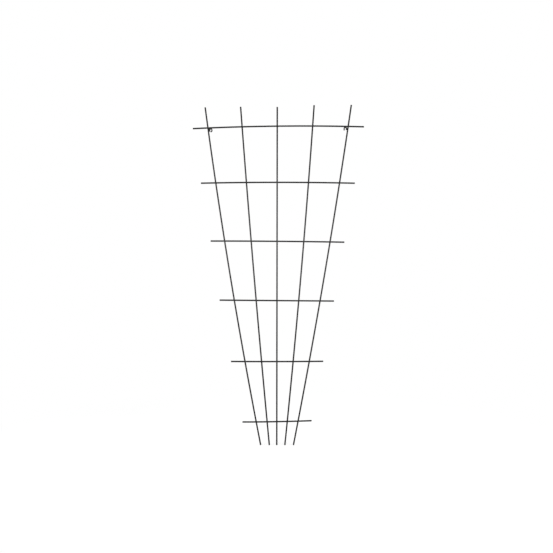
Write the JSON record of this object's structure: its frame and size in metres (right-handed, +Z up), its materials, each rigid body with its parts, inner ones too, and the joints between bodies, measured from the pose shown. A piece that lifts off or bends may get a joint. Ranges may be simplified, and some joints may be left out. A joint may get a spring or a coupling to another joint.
{
  "type": "fan trellis",
  "caption": "Fan-shaped garden trellis of black coated steel rod: uprights that spread from a narrow foot, crossbars welded behind them, and small eyes in the upper corners for a wall.",
  "frame": {"origin": "centre of the cut foot of the centre upright, at ground level, in the plane of the uprights", "axes": "+X to the right and +Z up as seen from the front, +Y from the uprights back to the crossbars and the wall"},
  "size_m": [0.7596, 0.0143, 1.5063],
  "materials": {
    "rod_coat": "satin black powder coat over round steel rod",
    "eye_coat": "satin black powder coat over bent steel wire",
    "weld_coat": "black powder coat, a little rougher, over weld metal"
  },
  "bodies": {
    "root": {"upright_outer_left": "rod_coat", "upright_inner_left": "rod_coat", "upright_centre": "rod_coat", "upright_inner_right": "rod_coat", "upright_outer_right": "rod_coat", "crossbar_1": "rod_coat", "crossbar_2": "rod_coat", "crossbar_3": "rod_coat", "crossbar_4": "rod_coat", "crossbar_5": "rod_coat", "crossbar_6": "rod_coat", "hanging_eye_left": "eye_coat", "hanging_eye_right": "eye_coat", "weld_1_outer_left": "weld_coat", "weld_1_inner_left": "weld_coat", "weld_1_centre": "weld_coat", "weld_1_inner_right": "weld_coat", "weld_1_outer_right": "weld_coat", "weld_2_outer_left": "weld_coat", "weld_2_inner_left": "weld_coat", "weld_2_centre": "weld_coat", "weld_2_inner_right": "weld_coat", "weld_2_outer_right": "weld_coat", "weld_3_outer_left": "weld_coat", "weld_3_inner_left": "weld_coat", "weld_3_centre": "weld_coat", "weld_3_inner_right": "weld_coat", "weld_3_outer_right": "weld_coat", "weld_4_outer_left": "weld_coat", "weld_4_inner_left": "weld_coat", "weld_4_centre": "weld_coat", "weld_4_inner_right": "weld_coat", "weld_4_outer_right": "weld_coat", "weld_5_outer_left": "weld_coat", "weld_5_inner_left": "weld_coat", "weld_5_centre": "weld_coat", "weld_5_inner_right": "weld_coat", "weld_5_outer_right": "weld_coat", "weld_6_outer_left": "weld_coat", "weld_6_inner_left": "weld_coat", "weld_6_centre": "weld_coat", "weld_6_inner_right": "weld_coat", "weld_6_outer_right": "weld_coat", "eye_weld_left_upright": "weld_coat", "eye_weld_left_crossbar": "weld_coat", "eye_weld_right_upright": "weld_coat", "eye_weld_right_crossbar": "weld_coat"}
  },
  "joints": []
}
